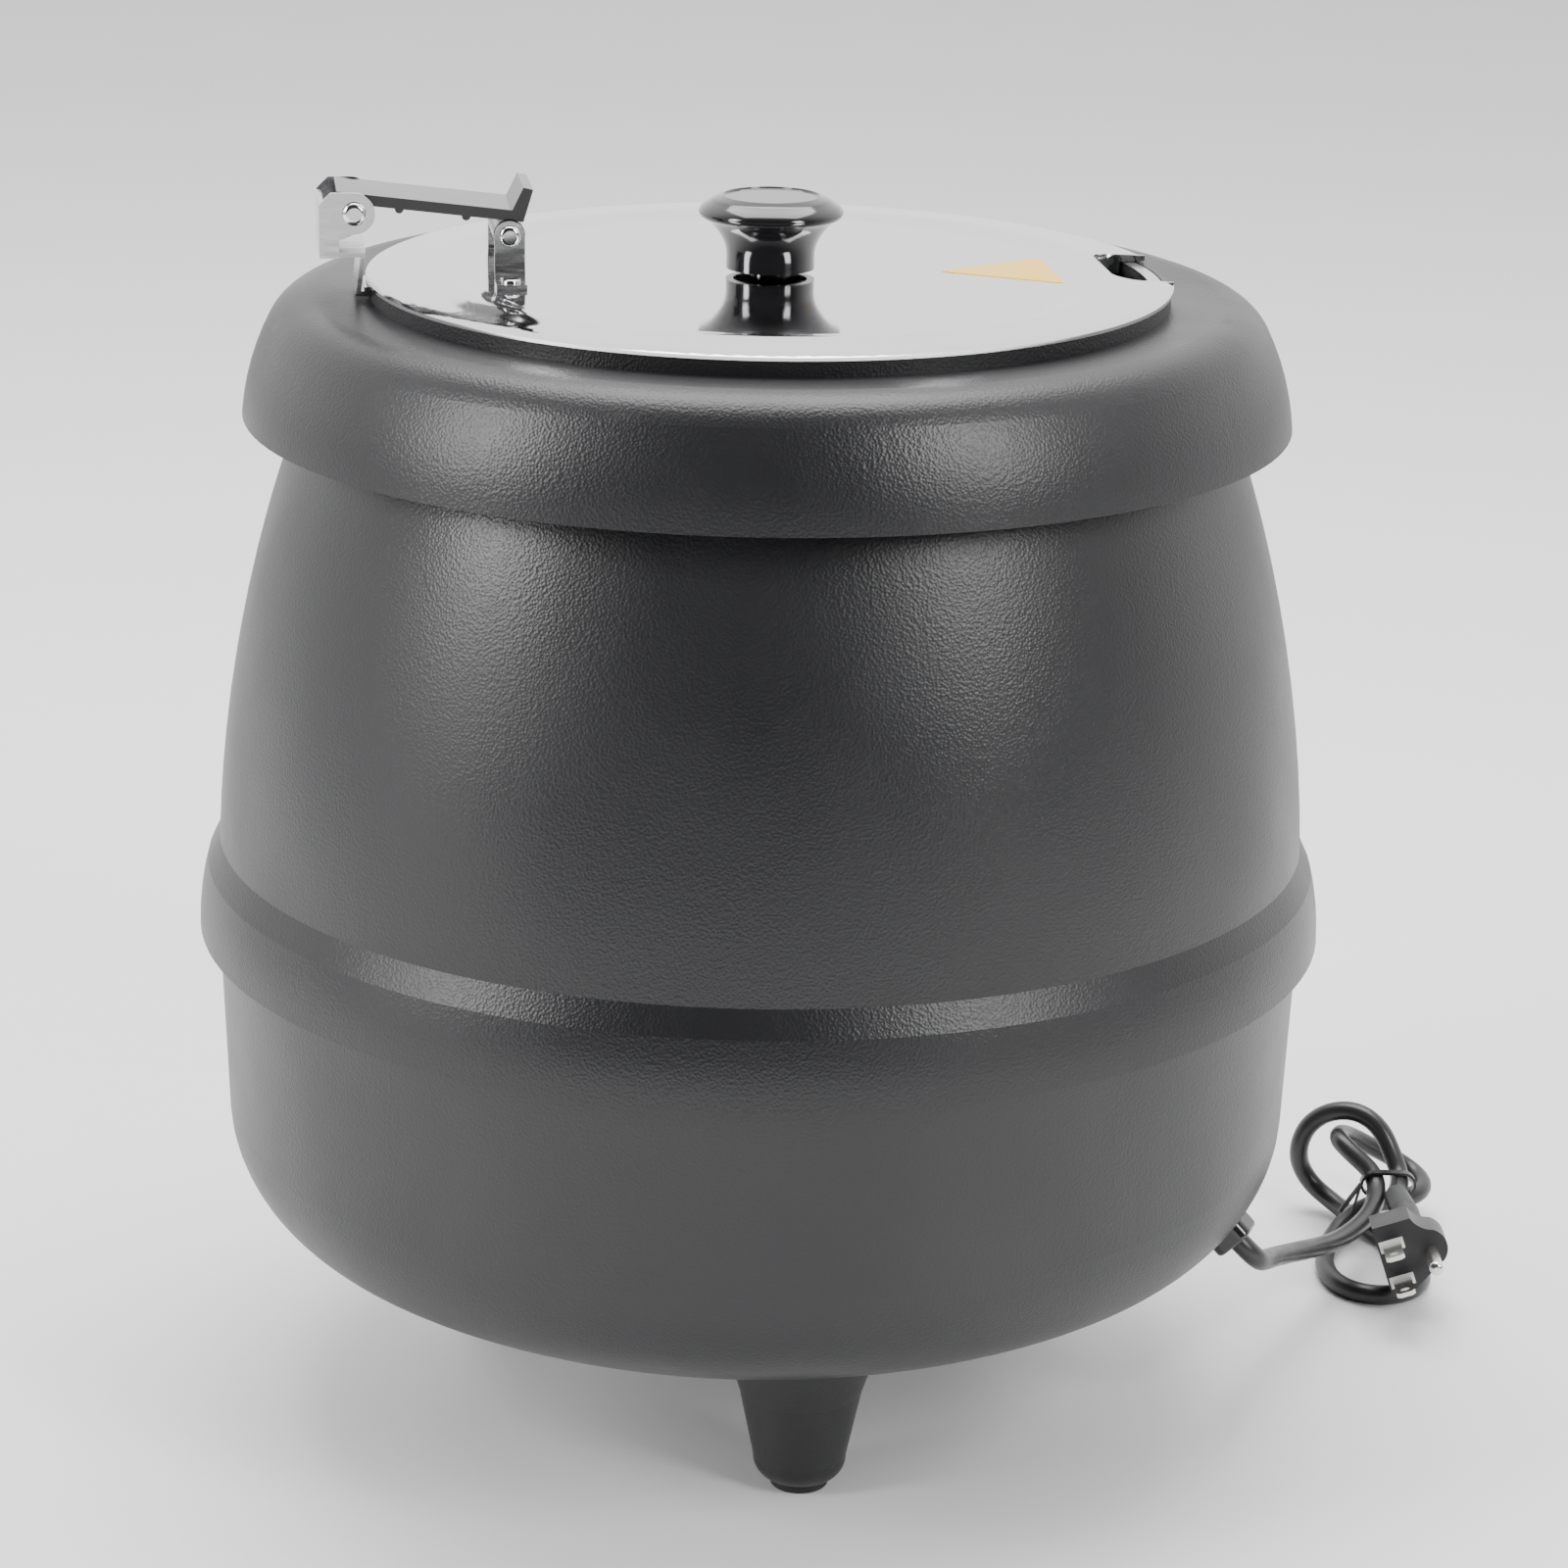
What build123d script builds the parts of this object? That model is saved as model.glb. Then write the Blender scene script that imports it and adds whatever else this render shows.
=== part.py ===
"""Wet-heat soup kettle: moulded cauldron, lift-out pot, hinged lid and mains lead.

Millimetres. +Z is up, the kettle's axis is Z and the floor is z = 0. The lid's
hinge is on the -X side, the ladle notch opposite it, the dial on the +Y side.
"""

import os
from math import atan2, cos, pi, radians, sin, sqrt, tan

from build123d import *

os.makedirs("parts", exist_ok=True)

# ---------------------------------------------------------------- driving sizes

# moulded outer casing
belt_radius = 175.0            # widest point, at the skirt's lower edge
belt_top_radius = 172.2
belt_top_z = 177.5
belt_foot_z = 185.5            # where the belt's shoulder meets the wall
skirt_bottom_z = 157.0
seam_z = 165.0                 # lower casing's rim, which carries the upper casing
skirt_gap = 0.7                # skirt's inside to the lower casing
shell = 3.0                    # moulded wall
wall_arc_radius = 430.0        # upper casing's gentle barrel curve
wall_crown_radius = 168.8
wall_crown_z = 167.5
casing_top_z = 349.0
casing_flange_radius = 139.5

# bowl of the lower casing
bowl_base_z = 45.0
bowl_dish_radius = 130.0
bowl_shoulder_radius = 41.0
bowl_shoulder_z = 98.5
bowl_side_radius = 167.0
bowl_side_lean = 2.2           # degrees outwards
base_opening_radius = 54.0

# feet
foot_count = 3
foot_azimuth = -80.0
foot_circle = 88.0
foot_tip_radius = 10.0
foot_low_radius = 14.3
foot_high_radius = 18.8
foot_round_z = 10.0
foot_flare_z = 32.0
pad_thickness = 3.0
pad_radius = 9.0

# collar
collar_radius = 159.1
collar_bottom_z = 317.8
collar_crown_radius = 137.5
gutter_z = 353.6
crown_rise = 0.4
crown_arc_radius = 15.0
crown_turn = 62.0              # degrees the first arc turns
lip_outer_radius = 120.9
lip_wall = 1.7
lip_height = 4.4

# inner pot and water well
pot_bore_radius = 115.0
pot_wall = 1.2
pot_depth = 238.0
pot_corner = 24.0
pot_gap = 1.0                  # pot to the collar's throat
rim_gap = 0.3                  # between parts that lift off each other
well_gap = 5.3                 # steam and water space round the pot
well_wall = 1.0
well_floor_gap = 17.0
well_corner = 14.0

# lid
lid_radius = 121.6
lid_flat_radius = 91.0
lid_sheet = 1.0
lid_flat_z = 359.6             # top of the flat centre
lid_bead_rise = 1.3
lid_bead_radius = 98.0
lid_turn = 7.5                 # degrees the hinge line is turned about Z
notch_width = 42.0
notch_depth = 19.5
notch_wall_height = 4.0
notch_corner = 8.0

# knob
knob_gap = 1.7                 # knob above the lid, on its washer
knob_radius = 21.8
knob_height = 21.9
knob_disc_radius = 14.6
knob_neck_radius = 13.4
knob_crown_height = 5.1
knob_screw_radius = 2.5

# hinge, measured in the hinge's own plane
rear_pivot_x = -125.4
rear_pivot_z = 380.8
front_pivot_x = -79.7
front_pivot_z = 373.9
pin_radius = 2.0
pin_gap = 0.06                 # running fit of the knuckles
hinge_half = 13.8              # inside half width of the brackets
arm_side_gap = 0.5
strip = 1.5                    # bracket sheet
arm_thick = 3.2
arm_rear_lift = 2.5            # arm's underside over the rear pivot
arm_front_lift = 4.3
lobe_radius = 6.1
ear_radius = 4.5
rear_knuckle_radius = 5.0
tab_half = 9.0                 # pot tab that carries the rear bracket
bracket_rivet_radius = 1.6
ear_flange_y = 20.0            # rivets of the lid's two brackets
ear_rivet_radius = 1.5

# control panel and dial
panel_azimuth = 100.0
panel_width = 92.0
panel_height = 44.0
panel_z = 110.0
panel_face = 151.0             # distance of the panel's plate from the axis
panel_sheet = 2.5
panel_corner = 6.0
dial_radius = 17.0
dial_height = 13.0
dial_gap = 1.0
dial_offset = -20.0
dial_grips = 24
lamp_offset = 24.0
shaft_radius = 3.0
lamp_radius = 5.5

# heater
element_ring_radius = 62.0
element_radius = 3.3
heat_plate_radius = 78.0
heat_plate_thick = 3.0
clamp_radius = 74.0
clamp_thick = 1.5

# cord and gland
cord_radius = 3.3
gland_azimuth = -18.0
gland_slope = 44.0             # degrees below level
gland_width = 13.6
gland_out = 4.8
gland_neck_radius = 6.2
gland_nut_radius = 9.5
gland_gap = 0.25
blade_seat = 3.0               # depth the plug's blades are set into its face

# screws
screw_radius = 2.0
screw_head_radius = 3.8
screw_head_height = 2.2

# ---------------------------------------------------------------- worked-out sizes

pot_outer_radius = pot_bore_radius + pot_wall
throat_radius = pot_outer_radius + pot_gap
lip_top_z = gutter_z + lip_height
ledge_z = lip_top_z - pot_wall - 0.2
pot_rim_radius = lip_outer_radius - lip_wall - rim_gap
pot_top_z = ledge_z + pot_wall
pot_floor_z = pot_top_z - pot_depth
well_bore_radius = pot_outer_radius + well_gap
well_outer_radius = well_bore_radius + well_wall
well_floor_z = pot_floor_z - pot_wall - well_floor_gap
well_flange_z = casing_top_z
plate_top_z = well_floor_z - well_wall
element_z = plate_top_z - heat_plate_thick - element_radius
clamp_z = element_z - element_radius - clamp_thick
lid_bead_z = lid_flat_z + lid_bead_rise
lid_edge_z = lip_top_z + rim_gap + lid_sheet
knob_base_z = lid_flat_z + knob_gap
bracket_rivet_x = -(lip_outer_radius - lip_wall + 0.2)
bracket_rivet_places = [(bracket_rivet_x, -tab_half / 2), (bracket_rivet_x, tab_half / 2)]
ear_rivet_places = [(front_pivot_x, -ear_flange_y), (front_pivot_x, ear_flange_y)]
wall_axis = wall_crown_radius - wall_arc_radius
skirt_inner_radius = (bowl_side_radius + (seam_z - bowl_shoulder_z) * tan(radians(bowl_side_lean))
                      + skirt_gap)


def wall_radius(z, inset=0.0):
    """Radius of the upper casing's barrel wall at a height."""
    arc = wall_arc_radius - inset
    return wall_axis + sqrt(arc ** 2 - (z - wall_crown_z) ** 2)


def bowl_side(z, inset=0.0):
    """Radius of the lower casing's side above the bowl's shoulder."""
    lean = radians(bowl_side_lean)
    return bowl_side_radius + (z - bowl_shoulder_z) * tan(lean) - inset / cos(lean)


def on_axis(azimuth, radius, z):
    """A point given by azimuth, radius and height."""
    return (radius * cos(radians(azimuth)), radius * sin(radians(azimuth)), z)


def outward_plane(azimuth, radius, z, slope=0.0):
    """A plane whose normal leaves the axis, turned down by slope degrees; its y goes up."""
    a, b = radians(azimuth), radians(slope)
    return Plane(origin=on_axis(azimuth, radius, z), x_dir=(-sin(a), cos(a), 0),
                 z_dir=(cos(a) * cos(b), sin(a) * cos(b), -sin(b)))


def panel_plane(radius, offset=0.0):
    """A plane on the control panel, moved sideways by offset."""
    a = radians(panel_azimuth)
    middle = outward_plane(panel_azimuth, radius, panel_z)
    return Plane(origin=middle.origin + Vector(-sin(a), cos(a), 0) * offset,
                 x_dir=middle.x_dir, z_dir=middle.z_dir)


def lid_point(x, y, z):
    """A point of the hinge's frame, turned about Z with the lid."""
    a = radians(lid_turn)
    return (x * cos(a) - y * sin(a), x * sin(a) + y * cos(a), z)


def hinge_plane(y=0.0):
    """An upright plane along the hinge line; sketch x is along it and sketch y is height."""
    a = radians(lid_turn)
    return Plane(origin=lid_point(0, y, 0), x_dir=(cos(a), sin(a), 0), z_dir=(sin(a), -cos(a), 0))


def lid_plane(z):
    """A level plane at a height, turned with the lid."""
    a = radians(lid_turn)
    return Plane(origin=(0, 0, z), x_dir=(cos(a), sin(a), 0), z_dir=(0, 0, 1))


def save(part, name):
    """Label one piece and write it."""
    part.label = name
    export_step(part, f"parts/{name}.step")
    print(f"{name:22s} {len(part.solids()):3d} solids {part.volume:12.1f} mm3")


# ---------------------------------------------------------------- lower casing

# The bowl is a dish arc, a shoulder arc and a leaning side, each tangent to the next.
shoulder_axis = bowl_side_radius - bowl_shoulder_radius
dish_rise = bowl_base_z + bowl_dish_radius - bowl_shoulder_z
dish_centre_z = bowl_base_z + bowl_dish_radius
dish_edge = shoulder_axis - sqrt((bowl_dish_radius - bowl_shoulder_radius) ** 2 - dish_rise ** 2)
blend_angle = atan2(dish_rise, shoulder_axis - dish_edge)


def bowl_points(inset):
    """Corner and mid points of the bowl's outline, moved inwards by inset."""
    dish = bowl_dish_radius - inset
    turn = bowl_shoulder_radius - inset
    lean = radians(bowl_side_lean)
    mid_dish = (pi / 2 + blend_angle) / 2
    mid_turn = (blend_angle + lean) / 2
    return [
        (dish_edge, bowl_base_z + inset),
        (dish_edge + dish * cos(mid_dish), dish_centre_z - dish * sin(mid_dish)),
        (dish_edge + dish * cos(blend_angle), dish_centre_z - dish * sin(blend_angle)),
        (shoulder_axis + turn * cos(mid_turn), bowl_shoulder_z - turn * sin(mid_turn)),
        (shoulder_axis + turn * cos(lean), bowl_shoulder_z - turn * sin(lean)),
    ]


def bowl_line(inset, start_radius, top_z):
    """Draw the bowl's outline from the base opening to the rim."""
    dish_start, dish_mid, blend, turn_mid, side = bowl_points(inset)
    Line((start_radius, dish_start[1]), dish_start)
    ThreePointArc(dish_start, dish_mid, blend)
    ThreePointArc(blend, turn_mid, side)
    Line(side, (bowl_side(top_z, inset), top_z))


boss_radius = 5.5
boss_azimuths = [10.0 + 120.0 * i for i in range(3)]
boss_bottom_z = seam_z - 32.0
boss_circle = bowl_side(boss_bottom_z - screw_head_height, shell) - screw_head_radius - 0.3
foot_azimuths = [foot_azimuth + 360.0 / foot_count * i for i in range(foot_count)]

with BuildPart() as foot_form:
    with BuildSketch(Plane.XZ) as foot_section:
        with BuildLine():
            Line((0, pad_thickness), (foot_tip_radius, pad_thickness))
            ThreePointArc((foot_tip_radius, pad_thickness),
                          (foot_low_radius - 1.5, pad_thickness + 2.2),
                          (foot_low_radius, foot_round_z))
            Line((foot_low_radius, foot_round_z), (foot_high_radius, foot_flare_z))
            ThreePointArc((foot_high_radius, foot_flare_z),
                          (foot_high_radius + 2.2, foot_flare_z + 6.5),
                          (foot_high_radius + 7.5, bowl_base_z + 4.5))
            Line((foot_high_radius + 7.5, bowl_base_z + 4.5), (0, bowl_base_z + 4.5))
            Line((0, bowl_base_z + 4.5), (0, pad_thickness))
        make_face()
    revolve(axis=Axis.Z)

with BuildPart() as lower_casing:
    with BuildSketch(Plane.XZ):
        with BuildLine():
            bowl_line(0, 0, seam_z)
            Line((bowl_side(seam_z), seam_z), (0, seam_z))
            Line((0, seam_z), (0, bowl_base_z))
        make_face()
    revolve(axis=Axis.Z)
    for azimuth in foot_azimuths:
        with Locations(on_axis(azimuth, foot_circle, 0)):
            add(foot_form.part)
    with BuildSketch(Plane.XZ):
        with BuildLine():
            bowl_line(shell, 0, seam_z)
            Line((bowl_side(seam_z, shell), seam_z), (0, seam_z))
            Line((0, seam_z), (0, bowl_base_z + shell))
        make_face()
    revolve(axis=Axis.Z, mode=Mode.SUBTRACT)
    # bosses that take the long screws into the upper casing
    for azimuth in boss_azimuths:
        with BuildSketch(Plane.XY.offset(boss_bottom_z)):
            with Locations(on_axis(azimuth, boss_circle, 0)[:2]):
                Circle(boss_radius)
        extrude(amount=seam_z - boss_bottom_z)
    with BuildSketch(Plane.XY.offset(boss_bottom_z)):
        for azimuth in boss_azimuths:
            with Locations(on_axis(azimuth, boss_circle, 0)[:2]):
                Circle(screw_radius)
    extrude(amount=seam_z - boss_bottom_z, mode=Mode.SUBTRACT)
    # base opening, window for the control panel and hole for the cord gland
    with BuildSketch(Plane.XY.offset(bowl_base_z)):
        Circle(base_opening_radius)
    extrude(amount=shell, mode=Mode.SUBTRACT)
    with BuildSketch(outward_plane(panel_azimuth, panel_face - 20, panel_z)):
        RectangleRounded(panel_width, panel_height, panel_corner)
    extrude(amount=60, mode=Mode.SUBTRACT)
    gland_radius = shoulder_axis + bowl_shoulder_radius * cos(radians(gland_slope))
    gland_z = bowl_shoulder_z - bowl_shoulder_radius * sin(radians(gland_slope))
    gland_plane = outward_plane(gland_azimuth, gland_radius, gland_z, gland_slope)
    with BuildSketch(gland_plane.offset(-2 * shell)):
        Circle(gland_neck_radius + gland_gap)
    extrude(amount=3 * shell, mode=Mode.SUBTRACT)
    # screw holes for the base cover
    base_screw_circle = base_opening_radius + 4.3
    with BuildSketch(Plane.XY.offset(bowl_base_z)):
        with PolarLocations(base_screw_circle, 4, start_angle=45):
            Circle(screw_radius)
    extrude(amount=shell, mode=Mode.SUBTRACT)
save(lower_casing.part, "lower_casing")

with BuildPart() as foot_pads:
    for azimuth in foot_azimuths:
        with BuildSketch():
            with Locations(on_axis(azimuth, foot_circle, 0)[:2]):
                Circle(pad_radius)
        extrude(amount=pad_thickness)
    fillet(foot_pads.faces().group_by(Axis.Z)[0].edges(), 1.0)
save(foot_pads.part, "foot_pads")

cover_radius = base_opening_radius + 8.4
cover_sheet = 1.5
with BuildPart() as base_cover:
    with BuildSketch(Plane.XY.offset(bowl_base_z - cover_sheet)):
        Circle(cover_radius)
        with PolarLocations(base_screw_circle, 4, start_angle=45):
            Circle(screw_radius, mode=Mode.SUBTRACT)
        for row in range(-3, 4):
            with Locations((row * 9.0, 30.0), (row * 9.0, -30.0)):
                SlotOverall(26, 3.2, rotation=90, mode=Mode.SUBTRACT)
    extrude(amount=cover_sheet)
save(base_cover.part, "base_cover")


def screws(plane_z, places, length, upwards=1):
    """Pan head screws at (x, y) places; the head's seat is at plane_z."""
    with BuildPart() as made:
        with BuildSketch(Plane.XY.offset(plane_z)):
            with Locations(*places):
                Circle(screw_radius)
        extrude(amount=length * upwards)
        with BuildSketch(Plane.XY.offset(plane_z)):
            with Locations(*places):
                Circle(screw_head_radius)
        extrude(amount=-screw_head_height * upwards)
        head_side = made.faces().group_by(Axis.Z)[0 if upwards > 0 else -1]
        fillet(head_side.edges(), 0.8)
        with BuildSketch(Plane.XY.offset(plane_z - screw_head_height * upwards)):
            with Locations(*places):
                Rectangle(4.4, 0.9)
                Rectangle(0.9, 4.4)
        extrude(amount=1.2 * upwards, mode=Mode.SUBTRACT)
    return made.part


base_places = [on_axis(45 + 90 * i, base_screw_circle, 0)[:2] for i in range(4)]
base_screws = screws(bowl_base_z - cover_sheet, base_places, cover_sheet + shell)
save(base_screws, "base_screws")

# ---------------------------------------------------------------- upper casing

flange_sheet = shell
upper_wall_top = casing_top_z - flange_sheet
upper_boss_top = seam_z + 26.0
with BuildPart() as upper_casing:
    with BuildSketch(Plane.XZ):
        with BuildLine():
            belt_low = (belt_radius, skirt_bottom_z)
            belt_high = (belt_top_radius, belt_top_z)
            wall_low = (wall_radius(belt_foot_z), belt_foot_z)
            wall_mid = (wall_radius((belt_foot_z + upper_wall_top) / 2),
                        (belt_foot_z + upper_wall_top) / 2)
            wall_high = (wall_radius(upper_wall_top), upper_wall_top)
            Line((0, skirt_bottom_z), belt_low)
            ThreePointArc(belt_low, ((belt_radius + belt_top_radius) / 2 + 0.7,
                                     (skirt_bottom_z + belt_top_z) / 2), belt_high)
            Line(belt_high, wall_low)
            ThreePointArc(wall_low, wall_mid, wall_high)
            Line(wall_high, (0, upper_wall_top))
            Line((0, upper_wall_top), (0, skirt_bottom_z))
        make_face()
        belt_corners = [v for v in vertices() if abs(v.Z - belt_top_z) < 0.01
                        or (abs(v.Z - belt_foot_z) < 0.01 and v.X > 10)]
        fillet(belt_corners, 3.4)
    revolve(axis=Axis.Z)
    # inside of the wall, above the rim of the lower casing
    with BuildSketch(Plane.XZ):
        with BuildLine():
            inner_low = (wall_radius(seam_z, shell), seam_z)
            inner_mid = (wall_radius((seam_z + upper_wall_top) / 2, shell),
                         (seam_z + upper_wall_top) / 2)
            inner_high = (wall_radius(upper_wall_top, shell), upper_wall_top)
            Line((0, seam_z), inner_low)
            ThreePointArc(inner_low, inner_mid, inner_high)
            Line(inner_high, (0, upper_wall_top))
            Line((0, upper_wall_top), (0, seam_z))
        make_face()
    revolve(axis=Axis.Z, mode=Mode.SUBTRACT)
    # inside of the skirt, which hangs round the lower casing
    with BuildSketch(Plane.XY.offset(skirt_bottom_z)):
        Circle(skirt_inner_radius)
    extrude(amount=seam_z - skirt_bottom_z, mode=Mode.SUBTRACT)
    # flange at the top, which carries the well and the collar
    with BuildSketch(Plane.XY.offset(upper_wall_top)):
        Circle(casing_flange_radius)
        Circle(well_outer_radius + 1.0, mode=Mode.SUBTRACT)
    extrude(amount=flange_sheet)
    for azimuth in boss_azimuths:
        with BuildSketch(Plane.XY.offset(seam_z)):
            with Locations(on_axis(azimuth, boss_circle, 0)[:2]):
                Circle(boss_radius)
        extrude(amount=upper_boss_top - seam_z)
    with BuildSketch(Plane.XY.offset(seam_z)):
        for azimuth in boss_azimuths:
            with Locations(on_axis(azimuth, boss_circle, 0)[:2]):
                Circle(screw_radius)
    extrude(amount=upper_boss_top - seam_z - 4, mode=Mode.SUBTRACT)
    collar_screw_circle = casing_flange_radius - 4.6
    with BuildSketch(Plane.XY.offset(upper_wall_top)):
        with PolarLocations(collar_screw_circle, 6, start_angle=30):
            Circle(screw_radius)
    extrude(amount=flange_sheet, mode=Mode.SUBTRACT)
save(upper_casing.part, "upper_casing")

boss_places = [on_axis(azimuth, boss_circle, 0)[:2] for azimuth in boss_azimuths]
casing_screws = screws(boss_bottom_z, boss_places, upper_boss_top - 5 - boss_bottom_z)
save(casing_screws, "casing_screws")

# ---------------------------------------------------------------- collar


def collar_line(inset):
    """Crown and shoulder of the collar, from its gutter down to its lower edge."""
    turn = radians(crown_turn)
    top_z = gutter_z + crown_rise
    centre_z = top_z - crown_arc_radius
    arc = crown_arc_radius - inset
    top = (collar_crown_radius, top_z - inset)
    mid = (collar_crown_radius + arc * sin(turn / 2), centre_z + arc * cos(turn / 2))
    blend = (collar_crown_radius + arc * sin(turn), centre_z + arc * cos(turn))
    ThreePointArc(top, mid, blend)
    TangentArc(blend, (collar_radius - inset, collar_bottom_z), tangent=(cos(turn), -sin(turn)))


collar_boss_z = casing_top_z
with BuildPart() as collar:
    with BuildSketch(Plane.XZ):
        with BuildLine():
            collar_line(0)
            Line((collar_radius, collar_bottom_z), (0, collar_bottom_z))
            Line((0, collar_bottom_z), (0, gutter_z))
            Line((0, gutter_z), (lip_outer_radius, gutter_z))
            Line((lip_outer_radius, gutter_z), (collar_crown_radius, gutter_z + crown_rise))
        make_face()
    revolve(axis=Axis.Z)
    with BuildSketch(Plane.XZ):
        with BuildLine():
            collar_line(shell)
            Line((collar_radius - shell, collar_bottom_z), (0, collar_bottom_z))
            Line((0, collar_bottom_z), (0, gutter_z + crown_rise - shell))
            Line((0, gutter_z + crown_rise - shell),
                 (collar_crown_radius, gutter_z + crown_rise - shell))
        make_face()
    revolve(axis=Axis.Z, mode=Mode.SUBTRACT)
    # lip round the throat, with a ledge for the pot's rim
    with BuildSketch(Plane.XY.offset(casing_top_z + well_wall)):
        Circle(well_outer_radius + 9.0)
    extrude(amount=gutter_z - casing_top_z - well_wall)
    with BuildSketch(Plane.XY.offset(gutter_z)):
        Circle(lip_outer_radius)
    extrude(amount=lip_height)
    with BuildSketch(Plane.XY.offset(casing_top_z)):
        with PolarLocations(collar_screw_circle, 6, start_angle=30):
            Circle(screw_head_radius)
    extrude(amount=gutter_z - casing_top_z - 1)
    with BuildSketch(Plane.XY.offset(casing_top_z)):
        with PolarLocations(collar_screw_circle, 6, start_angle=30):
            Circle(screw_radius)
    extrude(amount=2.8, mode=Mode.SUBTRACT)
    with BuildSketch(Plane.XY.offset(casing_top_z)):
        Circle(throat_radius)
    extrude(amount=lip_top_z - casing_top_z, mode=Mode.SUBTRACT)
    with BuildSketch(Plane.XY.offset(ledge_z)):
        Circle(pot_rim_radius + rim_gap)
    extrude(amount=lip_height, mode=Mode.SUBTRACT)
    # gap in the lip for the pot's hinge tab
    with BuildSketch(hinge_plane()):
        with Locations((-lip_outer_radius, gutter_z + 0.5 + lip_height / 2)):
            Rectangle(2 * (lip_outer_radius - throat_radius) + 4, lip_height)
    extrude(amount=tab_half + 0.8, both=True, mode=Mode.SUBTRACT)
save(collar.part, "collar")

collar_places = [on_axis(30 + 60 * i, collar_screw_circle, 0)[:2] for i in range(6)]
collar_screws = screws(upper_wall_top, collar_places, flange_sheet + 2.6)
save(collar_screws, "collar_screws")

# ---------------------------------------------------------------- water well and heater

with BuildPart() as water_well:
    with BuildSketch(Plane.XY.offset(well_floor_z - well_wall)):
        Circle(well_outer_radius)
    extrude(amount=casing_top_z + well_wall - well_floor_z + well_wall)
    fillet(water_well.faces().sort_by(Axis.Z)[0].edges(), well_corner)
    with BuildSketch(Plane.XY.offset(casing_top_z)):
        Circle(well_outer_radius + 8.0)
    extrude(amount=well_wall)
    # stud that holds the heater against the floor
    with BuildSketch(Plane.XY.offset(clamp_z - 9.0)):
        Circle(3.0)
    extrude(amount=plate_top_z - clamp_z + 9.0)
    with BuildPart(mode=Mode.PRIVATE) as well_space:
        with BuildSketch(Plane.XY.offset(well_floor_z)):
            Circle(well_bore_radius)
        extrude(amount=casing_top_z + well_wall - well_floor_z)
        fillet(well_space.faces().sort_by(Axis.Z)[0].edges(), well_corner - well_wall)
    add(well_space.part, mode=Mode.SUBTRACT)
save(water_well.part, "water_well")

with BuildPart() as heat_plate:
    with BuildSketch(Plane.XY.offset(plate_top_z - heat_plate_thick)):
        Circle(heat_plate_radius)
        Circle(3.3, mode=Mode.SUBTRACT)
    extrude(amount=heat_plate_thick)
save(heat_plate.part, "heat_spreader")

element_gap = 24.0             # degrees left open between the element's ends
pin_drop = 12.0
with BuildPart() as heating_element:
    start = radians(element_gap / 2)
    with BuildLine(Plane.XY.offset(element_z)) as element_path:
        CenterArc((0, 0), element_ring_radius, element_gap / 2, 360 - element_gap)
    with BuildSketch(Plane(origin=on_axis(element_gap / 2, element_ring_radius, element_z),
                           x_dir=(cos(start), sin(start), 0), z_dir=(-sin(start), cos(start), 0))):
        Circle(element_radius)
    sweep()
save(heating_element.part, "heating_element")

with BuildPart() as element_pins:
    for side in (1, -1):
        azimuth = side * (element_gap / 2 + 3.0)
        with BuildSketch(Plane.XY.offset(element_z - element_radius - pin_drop)):
            with Locations(on_axis(azimuth, element_ring_radius, 0)[:2]):
                Circle(1.6)
        extrude(amount=pin_drop)
save(element_pins.part, "element_terminals")

with BuildPart() as clamp_plate:
    with BuildSketch(Plane.XY.offset(clamp_z)):
        Circle(clamp_radius)
        Circle(3.3, mode=Mode.SUBTRACT)
        with Locations((element_ring_radius, 0)):
            Rectangle(16, 46, mode=Mode.SUBTRACT)
        with PolarLocations(element_ring_radius / 2, 5, start_angle=56):
            Circle(9, mode=Mode.SUBTRACT)
    extrude(amount=clamp_thick)
save(clamp_plate.part, "heater_clamp")

with BuildPart() as clamp_nut:
    with BuildSketch(Plane.XY.offset(clamp_z - 5.0)):
        RegularPolygon(5.8, 6)
        Circle(3.0, mode=Mode.SUBTRACT)
    extrude(amount=5.0)
save(clamp_nut.part, "clamp_nut")

with BuildPart() as thermal_cutout:
    with BuildSketch(Plane.XY.offset(clamp_z - 8.0)):
        with Locations((0, -element_ring_radius / 2 - 12)):
            Circle(8)
    extrude(amount=8.0)
    with BuildSketch(Plane.XY.offset(clamp_z - 14.0)):
        with Locations((-4, -element_ring_radius / 2 - 12), (4, -element_ring_radius / 2 - 12)):
            Rectangle(0.8, 6)
    extrude(amount=6.0)
save(thermal_cutout.part, "thermal_cutout")

# ---------------------------------------------------------------- inner pot

with BuildPart() as inner_pot:
    with BuildSketch(Plane.XY.offset(pot_floor_z - pot_wall)):
        Circle(pot_outer_radius)
    extrude(amount=pot_depth + pot_wall)
    fillet(inner_pot.faces().sort_by(Axis.Z)[0].edges(), pot_corner)
    with BuildSketch(Plane.XY.offset(ledge_z)):
        Circle(pot_rim_radius)
    extrude(amount=pot_wall)
    # tab that stands out through the gap in the collar's lip
    with BuildSketch(lid_plane(ledge_z)):
        with Locations((-(lid_radius + 0.8 + pot_bore_radius) / 2, 0)):
            Rectangle(lid_radius + 0.8 - pot_bore_radius, 2 * tab_half)
    extrude(amount=pot_wall)
    with BuildSketch(lid_plane(ledge_z)):
        with Locations(*bracket_rivet_places):
            Circle(bracket_rivet_radius)
    extrude(amount=pot_wall, mode=Mode.SUBTRACT)
    with BuildPart(mode=Mode.PRIVATE) as pot_space:
        with BuildSketch(Plane.XY.offset(pot_floor_z)):
            Circle(pot_bore_radius)
        extrude(amount=pot_depth)
        fillet(pot_space.faces().sort_by(Axis.Z)[0].edges(), pot_corner - pot_wall)
    add(pot_space.part, mode=Mode.SUBTRACT)
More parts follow.
